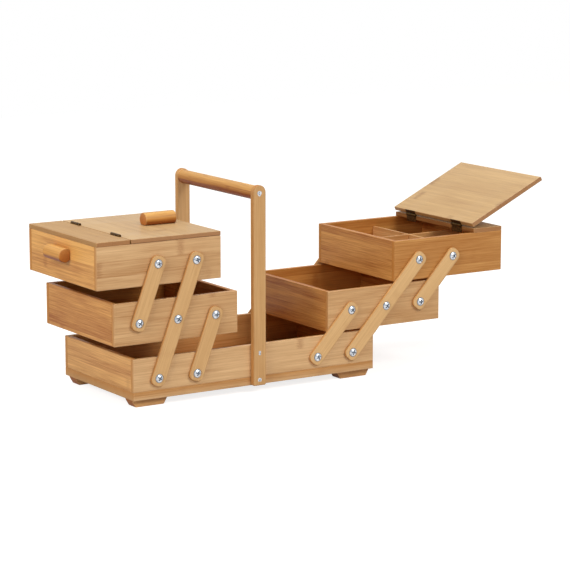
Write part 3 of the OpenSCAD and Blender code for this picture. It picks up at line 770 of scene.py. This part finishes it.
foot_wood = bamboo("bamboo foot", (234, 186, 130), (146, 92, 50), (166, 108, 60), strip_contrast=0.2,
                   knuckles=0.2)
zinc = plated("zinc plate", (236, 239, 243), (158, 168, 180), 0.22, 0.16, 420.0, (100, 108, 120))
bronze = plated("dark bronze", (104, 76, 38), (48, 33, 16), 0.42, 0.2, 420.0, (40, 28, 16))


def on_sides(surface, thick):
    """1 on the narrow sides of a bar that lies flat from z = 0 to its thickness, 0 on its two faces."""
    return (np.abs(surface[0][:, 2] - thick / 2) < thick / 2 - 0.3 * MM) * 1.0


def dowel_painted_light(up):
    """Painted light and shade round a dowel, where up runs from -1 at its underside to 1 on top: a
    paler lit gold above, and deep orange painted shade where it faces down."""
    tone = np.interp(up, [-1.0, -0.35, -0.1, 0.3, 1.0], [-0.7, -0.6, -0.15, 0.1, 0.3])
    return tone, np.interp(up, [-1.0, -0.2, 0.3, 1.0], [1.0, 0.9, 0.4, 0.0])


# Base and handle

def straight_board(name, body, along, through, tone=0.0, warm=0.0):
    """A wall or bottom board. Through is its outward direction: the side towards the inside of the
    box is painted deeper and more orange, as shade and light bounced off the wood."""
    part = board_part(*corner_box(name), along, through)
    inside = (part[0][0][:, 2] * (-1 if through is Z else 1) < 0) * 1.0
    material = end_wood if along is Y else board_wood
    wooden(name + "_board", body, [name], "bamboo_board", material, [part],
           tone - 0.22 * inside, warm + 0.6 * inside)


# The ends' extra orange is painted warm shade, as on the trays' ends.
straight_board("base_floor", "base", X, Z, 0.1)
straight_board("base_front", "base", X, -Y, 0.22)
straight_board("base_back", "base", X, Y, 0.1)
straight_board("base_left_end", "base", Y, -X, 0.12, 0.75)
straight_board("base_right_end", "base", Y, X, 0.06, 0.7)


def feet():
    """Four blocks, each a trapezoid along the base given the foot's width. Their narrow sides are
    painted deeper and more orange than the faces that the front and the back show, as shade."""
    high = corner_box("base_feet")[1]
    outline = [[FOOT_SLANT, 0], [FOOT_LONG - FOOT_SLANT, 0], [FOOT_LONG, BASE_Z], [0, BASE_Z]]
    surface = plate(outline, 1.4 * MM, FOOT_WIDE, 0.7 * MM, 0.6 * MM)
    parts = []
    for sx in (-1, 1):
        for sy in (-1, 1):
            y = sy * high[1] - (sy * FOOT_WIDE if sx == sy else 0)
            parts.append((surface, np.array([-sx * X, Z, sx * Y]), [sx * high[0], y, 0.0]))
    narrow = np.tile(on_sides(surface, FOOT_WIDE), len(parts))
    wooden("base_feet_blocks", "base", ["base_feet"], "bamboo_foot", foot_wood, parts,
           0.05 - 0.5 * narrow, 0.3 + 0.4 * narrow)


def upright(word, way, tone):
    """A flat bar with a round top and a countersunk hole for each of its three screws."""
    holes = [[(shank + SHANK_ROOM, 0.0), (shank + SHANK_ROOM, UPRIGHT_THICK - deep),
              (head + HEAD_ROOM, UPRIGHT_THICK)]
             for head, shank, deep in (FIXING_SCREW, FIXING_SCREW, BAR_SCREW)]
    surface = drilled_bar([*FIXING_Z, BAR_Z], (0.0, UPRIGHT_HIGH), UPRIGHT_HALF,
                          (2.4 * MM, UPRIGHT_HALF), UPRIGHT_THICK, 1.3 * MM, holes, 0.9 * MM)
    axes = np.array([Z, np.cross(way * Y, Z), way * Y])
    name = "handle_upright_" + word
    # Painted shade: the bar's narrow sides are deeper and more orange.
    narrow = on_sides(surface, UPRIGHT_THICK)
    wooden(name + "_bar", "base", [name], "bamboo_arm", arm_wood,
           [(surface, axes, [0, way * BASE_HALF_DEPTH, BASE_Z])], tone - 0.3 * narrow, 0.4 * narrow)


def handle_bar():
    """A dowel from upright to upright: a circle carried from the back to the front."""
    angle = np.linspace(0, 2 * math.pi, 48, endpoint=False)
    outline = BAR_RADIUS * np.stack([np.cos(angle), np.sin(angle)], 1)
    surface = plate(outline, 4 * MM, 2 * BASE_HALF_DEPTH, 0.5 * MM, 0.5 * MM, steps=1)
    # Painted light and shade: paler on top, deep and orange underneath.
    wooden("handle_bar_dowel", "base", ["handle_bar"], "bamboo_dowel", dowel_wood,
           [(surface, np.array([X, Z, -Y]), [0, BASE_HALF_DEPTH, BASE_Z + BAR_Z])],
           *dowel_painted_light(surface[0][:, 1] / BAR_RADIUS), grain_axis=2)


feet()
upright("front", -1.0, -0.14)
upright("back", 1.0, 0.06)
handle_bar()


# Screws

def domed_screw(length):
    """A pivot screw: a round head whose underside is bevelled, and a plain shank with a blunt end."""
    below = [(DOME_RADIUS, 0.12 * MM), (DOME_RADIUS - 0.15 * MM, 0.0), (PIVOT_SHANK, 0.0),
             (PIVOT_SHANK, -length), (PIVOT_SHANK - 1.3 * MM, -length - 0.8 * MM)]
    return screw(DOME_RADIUS, crown=2.5 * MM, rim=0.45 * MM, below=below, slot_half=0.75 * MM,
                 recess_half=3.5 * MM, recess_depth=1.6 * MM)


def flush_screw(size, length):
    """A countersunk screw, a little below the wood's face. Its cross and rim are less deep in shade
    than those of a domed one."""
    head, shank, deep = size
    below = [(head, -0.2 * MM), (shank, -deep), (shank, -length)]
    points, faces, hollow = screw(head, crown=0.12 * MM, rim=-0.18 * MM, below=below,
                                  slot_half=0.5 * MM, recess_half=head * 0.62, recess_depth=0.9 * MM)
    return points, faces, hollow * 0.45


pivot_screw = {"base": domed_screw(9.45 * MM), "tray": domed_screw(9.85 * MM)}
fixing_screw = flush_screw(FIXING_SCREW, 13.5 * MM)
bar_screw = flush_screw(BAR_SCREW, 33 * MM)


def screw_part(surface, x, z, seat, way, luck):
    """A screw whose head faces the front or the back, turned by chance about its own axis."""
    turn = luck.uniform(0, math.pi / 2)
    side = np.array([math.cos(turn), 0, math.sin(turn)])
    out = way * Y
    return surface, np.array([side, np.cross(out, side), out]), [x, way * seat, z]


def swung(side, tier):
    """How far the trays' pivots have moved in from the base's pivots, and up."""
    lean = LEAN[side]
    return tier * ARM_PITCH * math.sin(lean), tier * ARM_PITCH * math.cos(lean)


def base_screw_set(luck):
    """Eight pivot screws, and the three that hold each upright to the base and to the bar."""
    parts = []
    face = BASE_HALF_DEPTH + UPRIGHT_THICK
    for way in (-1.0, 1.0):
        for inset in (PIVOT_FROM_END, PIVOT_FROM_END + ARM_GAP):
            for sx in (-1, 1):
                x = sx * (BASE_HALF_LENGTH - inset)
                parts.append(screw_part(pivot_screw["base"], x, PIVOT_Z, HEAD_SEAT, way, luck))
        for z in FIXING_Z:
            parts.append(screw_part(fixing_screw, 0, BASE_Z + z, face, way, luck))
        parts.append(screw_part(bar_screw, 0, BASE_Z + BAR_Z, face, way, luck))
    metal("base_screw_set", "base", ["base_screws"], zinc, parts)


def tray_screw_set(side, tier, tray, pivots, luck):
    """A tray's pivot screws. The long arm's pivot is number 0, and one towards the end is -1."""
    shift, rise = swung(side, tier)
    parts = []
    for way in (-1.0, 1.0):
        for k in pivots:
            x = outward(side) * (BASE_HALF_LENGTH - PIVOT_FROM_END - shift - k * ARM_GAP)
            parts.append(screw_part(pivot_screw["tray"], x, PIVOT_Z + rise, HEAD_SEAT, way, luck))
    metal(f"{side}_{tray}_screw_set", f"{side}_{tray}_tray", [f"{side}_{tray}_pivot_screws"],
          zinc, parts)


turns = np.random.default_rng(7)
base_screw_set(turns)
for side in SIDES:
    tray_screw_set(side, 1, "mid", (-1, 0, 1), turns)
    tray_screw_set(side, 2, "top", (-1, 0), turns)


# Arms

def arm(side, word, kind, inset, foot_z, spans):
    """A bar with a bore at each pivot, laid on its lean: its long axis runs from the foot pivot."""
    lean = LEAN[side]
    along = np.array([-outward(side) * math.sin(lean), 0, math.cos(lean)])
    out = (-1.0 if word == "front" else 1.0) * Y
    bores = [k * ARM_PITCH for k in range(spans + 1)]
    holes = [[(ARM_BORE, 0.0), (ARM_BORE, ARM_THICK)]] * len(bores)
    surface = drilled_bar(bores, (ARM_HALF_WIDTH, bores[-1] + ARM_HALF_WIDTH), ARM_HALF_WIDTH,
                          (ARM_CORNER, ARM_CORNER), ARM_THICK, ARM_EDGE, holes)
    origin = [outward(side) * (BASE_HALF_LENGTH - inset), out[1] * ARM_PLANE, foot_z]
    name = f"{side}_{kind}_arm_{word}"
    # Painted shade: the bar's narrow sides are deeper and more orange.
    narrow = on_sides(surface, ARM_THICK)
    wooden(name + "_bar", f"{side}_{kind}_arms", [name], "bamboo_arm", arm_wood,
           [(surface, np.array([along, np.cross(out, along), out]), origin)],
           (0.04 if side == "left" else 0.22) - 0.4 * narrow, 0.6 * narrow)


for side in SIDES:
    shift, rise = swung(side, 1)
    for word in ("front", "back"):
        arm(side, word, "long", PIVOT_FROM_END, PIVOT_Z, 2)
        arm(side, word, "lower", PIVOT_FROM_END + ARM_GAP, PIVOT_Z, 1)
        arm(side, word, "upper", PIVOT_FROM_END + shift - ARM_GAP, PIVOT_Z + rise, 1)


# Trays

# How pale and how orange single boards are: partly each board's own tone, partly painted warm
# shade, which makes the ends and the boards inside the trays more orange and some of them deeper
BOARD_TONE_AND_SHADE = {"left_top_outer_end": (0.18, 0.95), "left_mid_outer_end": (-0.2, 0.95),
         "left_mid_back": (-0.2, 0.4), "left_mid_inner_end": (-0.2, 0.4), "left_mid_floor": (-0.2, 0.4),
         "left_top_front": (0.02, 0.0), "left_mid_front": (-0.06, 0.05), "right_mid_front": (0.08, 0.1),
         "right_top_front": (-0.2, 0.85), "right_top_inner_end": (-0.16, 1.0),
         "right_mid_inner_end": (-0.3, 1.0)}


def tray_boards(side, tray):
    """A tray's bottom and its four walls."""
    out = outward(side) * X
    for word, along, through in (("floor", X, Z), ("front", X, -Y), ("back", X, Y),
                                 ("outer_end", Y, out), ("inner_end", Y, -out)):
        name = f"{side}_{tray}_{word}"
        straight_board(name, f"{side}_{tray}_tray", along, through, *BOARD_TONE_AND_SHADE.get(name, (-0.06, 0.4)))


def dividers(side):
    """The cross board and the two halves of the long one, which meets it on either side."""
    low, high = corner_box(f"{side}_top_dividers")
    x, y, _ = (low + high) / 2
    cross = board_part([x - DIVIDER_HALF, low[1], low[2]], [x + DIVIDER_HALF, high[1], high[2]],
                       Y, X, 0.5 * MM)
    halves = [board_part([start, y - DIVIDER_HALF, low[2]], [end, y + DIVIDER_HALF, high[2]],
                         X, Y, 0.5 * MM)
              for start, end in ((low[0], x - DIVIDER_HALF), (x + DIVIDER_HALF, high[0]))]
    wooden(f"{side}_top_divider_boards", f"{side}_top_tray", [f"{side}_top_dividers"], "bamboo_board",
           board_wood, [cross] + halves, -0.05, 0.5)


for side in SIDES:
    tray_boards(side, "mid")
    tray_boards(side, "top")
    dividers(side)


# Lids, strips and knobs

def knob_surface():
    """A dowel with a flat along one side: the outline is a circle cut by a chord at a share of its
    radius below the middle, thick along z, with the chord at y = 0."""
    half = math.acos(KNOB_FLAT)
    angle = np.linspace(-math.pi / 2 + half, 1.5 * math.pi - half, 34)
    outline = KNOB_RADIUS * np.stack([np.cos(angle), np.sin(angle) + KNOB_FLAT], 1)
    return plate(outline, 3.2 * MM, KNOB_LONG, 1.6 * MM, 0.8 * MM, steps=1)


def lid_or_strip(width, thick):
    """A board as deep as the tray, with room for the two hinges along one edge."""
    return hinged_board(2 * TRAY_HALF_DEPTH, width, thick, 0.8 * MM, HINGE_PLACES,
                        (KNUCKLE_GROOVE, SEAM / 2, HINGE_RISE), LEAF_SUNK)


def board_edges(board, width):
    """1 on a board's side at y = -width/2, on the side across from it, and on its two ends."""
    x, y = board[0][:, 0], board[0][:, 1]
    inside = width / 2 - 0.6 * MM
    return (y < -inside) * 1.0, (y > inside) * 1.0, (np.abs(x) > TRAY_HALF_DEPTH - 0.85 * MM) * 1.0


def top_strip(side, corner, inward):
    axes = np.array([np.cross(-inward, Z), -inward, Z])
    strip = lid_or_strip(STRIP_WIDTH, LID_THICK)
    # Painted shade: the side towards the hinge is much deeper and more orange, the outer side a little.
    hinge_side, outer_side, end_face = board_edges(strip, STRIP_WIDTH)
    wooden(f"{side}_top_strip_board", f"{side}_top_tray", [f"{side}_top_strip"], "bamboo_board",
           strip_wood, [(strip, axes, corner + inward * (STRIP_WIDTH / 2) + Z * TOP_WALL)],
           0.06 - 0.5 * hinge_side - 0.1 * outer_side + 0.04 * end_face,
           0.3 + 0.7 * hinge_side + 0.3 * outer_side)


def lid_board(side, lid_u, lid_w, origin):
    """The lid. Its low corners at the front and the back are a painted shadow, dark where it closes
    on the wall; its side at the hinge, and less its free side, are painted deeper and more orange as
    shade.
    """
    lid = lid_or_strip(LID_WIDTH, LID_THICK - LID_CLEAR)
    hinge_side, free_side, end_face = board_edges(lid, LID_WIDTH)
    low_corner = end_face * (lid[0][:, 2] > 0.05 * MM) * (lid[0][:, 2] < 0.95 * MM)
    wooden(f"{side}_lid_top", f"{side}_lid", [f"{side}_lid_board"], "bamboo_board", lid_wood,
           [(lid, np.array([np.cross(lid_u, lid_w), lid_u, lid_w]), origin)],
           0.2 - 0.35 * hinge_side - 0.15 * free_side - 0.8 * low_corner,
           0.12 + 0.5 * hinge_side + 0.3 * free_side)


def lid_knob(side, lid_u, lid_w, origin):
    knob = knob_surface()
    # Painted light and shade: paler on top, deep and orange underneath.
    tone, warm = dowel_painted_light(knob[0][:, 1] / KNOB_RADIUS - KNOB_FLAT)
    axes = np.array([np.cross(lid_w, lid_u), lid_w, lid_u])
    wooden(f"{side}_lid_knob_dowel", f"{side}_lid", [f"{side}_lid_knob"], "bamboo_dowel", dowel_wood,
           [(knob, axes, origin)], tone - 0.1, warm, grain_axis=2)


def end_knob(side, corner, inward):
    knob = knob_surface()
    axes = np.array([np.cross(-inward, Y), -inward, Y])
    # Painted light and shade: paler on top, deep and orange underneath.
    tone, warm = dowel_painted_light(knob[0][:, 0] / KNOB_RADIUS * axes[0, 2])
    wooden(f"{side}_end_knob_dowel", f"{side}_top_tray", [f"{side}_top_knob"], "bamboo_dowel",
           dowel_wood, [(knob, axes, corner + Z * END_KNOB_Z - Y * KNOB_LONG / 2)],
           tone + 0.2, 0.3 + 0.7 * warm, grain_axis=2)


def knuckle(half, bore):
    """A tube along x with its outer edges broken: bore, end, bevel, side, bevel, end."""
    flat = KNUCKLE_RADIUS - KNUCKLE_EDGE
    return turned([(bore, half), (flat, half), (KNUCKLE_RADIUS, half - KNUCKLE_EDGE),
                   (KNUCKLE_RADIUS, KNUCKLE_EDGE - half), (flat, -half), (bore, -half)], 32)


def leaf(centre, u_way, w_way, u, low_w, high_w, y, half):
    """A thin plate beside the hinge's axis: u out from it, from low_w to high_w along it."""
    surface = rounded_box([LEAF_THICK, 2 * half, high_w - low_w], 0.15 * MM, 0.2 * MM)
    middle = centre + u_way * u + w_way * (low_w + high_w) / 2 + Y * y
    return surface, np.array([u_way, np.cross(w_way, u_way), w_way]), middle


def hinges(side, inward, hinge, lid_u, lid_w):
    """Two hinges, each with a leaf in either board's edge. The fixed leaf holds the pin and the two
    outer knuckles, the moving one the middle knuckle; necks join the leaves to their knuckles."""
    fixed, moving = [], []
    axes = np.array([Y, np.cross(Z, Y), Z])
    deep = HINGE_RISE + LID_THICK
    for place in HINGE_PLACES:
        centre = hinge + Y * place
        fixed.append((solid_pin(PIN_RADIUS, PIN_HALF, 0.2 * MM), axes, centre))
        for y in (-SIDE_KNUCKLE_AT, SIDE_KNUCKLE_AT):
            fixed.append((knuckle(SIDE_KNUCKLE_HALF, PIN_RADIUS), axes, centre + Y * y))
        moving.append((knuckle(MID_KNUCKLE_HALF, PIN_RADIUS + PIN_ROOM), axes, centre))
        fixed.append(leaf(centre, inward, Z, -LEAF_OUT, -deep - LEAF_HANG, LEAF_TOP, 0.0, HINGE_HALF))
        for y in (-SIDE_KNUCKLE_AT, SIDE_KNUCKLE_AT):
            fixed.append(leaf(centre, inward, Z, -LEAF_OUT, LEAF_TOP, NECK_TOP, y, SIDE_KNUCKLE_HALF))
        moving.append(leaf(centre, lid_u, lid_w, LEAF_OUT, LID_CLEAR - deep, LEAF_TOP, 0.0, HINGE_HALF))
        moving.append(leaf(centre, lid_u, lid_w, LEAF_OUT, LEAF_TOP, NECK_TOP, 0.0, MID_KNUCKLE_HALF))
    metal(f"{side}_fixed_hinge_leaves", f"{side}_top_tray", [f"{side}_top_hinge_leaves"],
          bronze, fixed)
    metal(f"{side}_moving_hinge_leaves", f"{side}_lid", [f"{side}_lid_hinge_leaves"],
          bronze, moving)


def tray_top(side):
    """What closes a top tray, in the tray's own frame: u runs in from its outer face, w up from its
    underside. The lid's frame is that frame turned about the hinge's axis as far as it is open."""
    low, high = corner_box(f"{side}_top_outer_end")
    inward = -outward(side) * X
    corner = np.array([high[0] if side == "right" else low[0], 0.0, low[2]])
    hinge = corner + inward * HINGE_U + Z * HINGE_Z
    turn = LID_TURN[side]
    lid_u = inward * math.cos(turn) + Z * math.sin(turn)
    lid_w = -inward * math.sin(turn) + Z * math.cos(turn)

    def lid_place(u, w):
        return hinge + lid_u * (u - HINGE_U) + lid_w * (w - HINGE_Z)

    top_strip(side, corner, inward)
    lid_board(side, lid_u, lid_w, lid_place(TOP_TRAY_LONG - LID_WIDTH / 2, TOP_WALL + LID_CLEAR))
    lid_knob(side, lid_u, lid_w,
             lid_place(TOP_TRAY_LONG - LID_KNOB_IN - KNOB_LONG, TOP_WALL + LID_THICK))
    end_knob(side, corner, inward)
    hinges(side, inward, hinge, lid_u, lid_w)


for side in SIDES:
    tray_top(side)


# Floor, light and camera. The floor is 2 FLOOR_REACH wide; WHITE_IN_GLOSS is the share of its white
# look that reflections show; the camera's place, its angles in degrees and its lens are the photo's
FLOOR_REACH = 3.2
WHITE_IN_GLOSS = 0.6
CAMERA_PLACE = (-1.7833, -2.9715, 0.7747)
CAMERA_DOWN = 10.398
CAMERA_TURN = -32.53
CAMERA_LENS = 153.81


def make_floor():
    """A level sheet, as (x, y, 0) on an even grid; the white surroundings carry on past it."""
    line = np.linspace(-FLOOR_REACH, FLOOR_REACH, 9)
    x, y = np.meshgrid(line, line, indexing="ij")
    points = np.stack([x, y, np.zeros_like(x)], -1).reshape(-1, 3)
    material = bpy.data.materials.new("studio paper")
    material.use_nodes = True
    tree = material.node_tree
    tree.nodes.remove(tree.nodes["Principled BSDF"])
    paper = node(tree, "ShaderNodeBsdfDiffuse", [("Color", (0.5, 0.48, 0.46, 1))]).outputs[0]
    lift = node(tree, "ShaderNodeEmission", [("Color", (1, 1, 1, 1)), ("Strength", 0.8)]).outputs[0]
    lit = node(tree, "ShaderNodeAddShader", [(0, paper), (1, lift)]).outputs[0]
    path = node(tree, "ShaderNodeLightPath").outputs
    seen = reckon(tree, "MULTIPLY_ADD", path["Is Glossy Ray"], WHITE_IN_GLOSS, path["Is Camera Ray"])
    shown = node(tree, "ShaderNodeMixShader", [(0, seen), (1, paper), (2, lit)]).outputs[0]
    tree.links.new(shown, tree.nodes["Material Output"].inputs["Surface"])
    mesh = bpy.data.meshes.new("studio_floor")
    mesh.from_pydata(points.tolist(), [], grid_quads(*x.shape).tolist())
    mesh.materials.append(material)
    floor = bpy.data.objects.new("studio_floor", mesh)
    bpy.context.scene.collection.objects.link(floor)


def lamp(name, place, target, size, watts):
    """A round area lamp that looks from its place to its target."""
    light = bpy.data.lights.new(name, "AREA")
    light.shape = "DISK"
    light.size = size
    light.energy = watts
    holder = bpy.data.objects.new(name, light)
    holder.location = place
    way = np.array(target) - np.array(place)
    yaw = math.atan2(way[1], way[0]) - math.pi / 2
    tilt = math.atan2(np.hypot(way[0], way[1]), -way[2])
    holder.rotation_euler = (tilt, 0, yaw)
    bpy.context.scene.collection.objects.link(holder)


def light_world():
    """Soft light on the object, a brighter look in its gloss, and plain white for the camera."""
    world = bpy.context.scene.world or bpy.data.worlds.new("studio")
    bpy.context.scene.world = world
    world.use_nodes = True
    tree = world.node_tree
    tree.nodes.clear()
    path = node(tree, "ShaderNodeLightPath").outputs
    soft, mirrored, white = (
        node(tree, "ShaderNodeBackground", [("Color", (1, 1, 1, 1)), ("Strength", strength)]).outputs[0]
        for strength in (0.32, 0.85, 1.0))
    unseen = node(tree, "ShaderNodeMixShader", [(0, path["Is Glossy Ray"]), (1, soft), (2, mirrored)])
    shown = node(tree, "ShaderNodeMixShader",
                 [(0, path["Is Camera Ray"]), (1, unseen.outputs[0]), (2, white)])
    output = node(tree, "ShaderNodeOutputWorld")
    tree.links.new(shown.outputs[0], output.inputs["Surface"])


def add_camera():
    view = bpy.data.cameras.new("photo view")
    view.sensor_width = 36
    view.lens = CAMERA_LENS
    camera = bpy.data.objects.new("photo view", view)
    camera.location = CAMERA_PLACE
    camera.rotation_euler = (math.radians(90 - CAMERA_DOWN), 0, math.radians(CAMERA_TURN))
    bpy.context.scene.collection.objects.link(camera)
    bpy.context.scene.camera = camera


make_floor()
light_world()
lamp("key", (0.8, -2.8, 2.2), (0.05, 0, 0.12), 1.6, 56)
lamp("fill", (-2.9, -0.9, 1.6), (0, 0, 0.12), 1.8, 56)
lamp("top", (0.0, 0.2, 3.0), (0, 0, 0.1), 1.8, 37)
add_camera()
bpy.context.scene.view_settings.view_transform = "Standard"
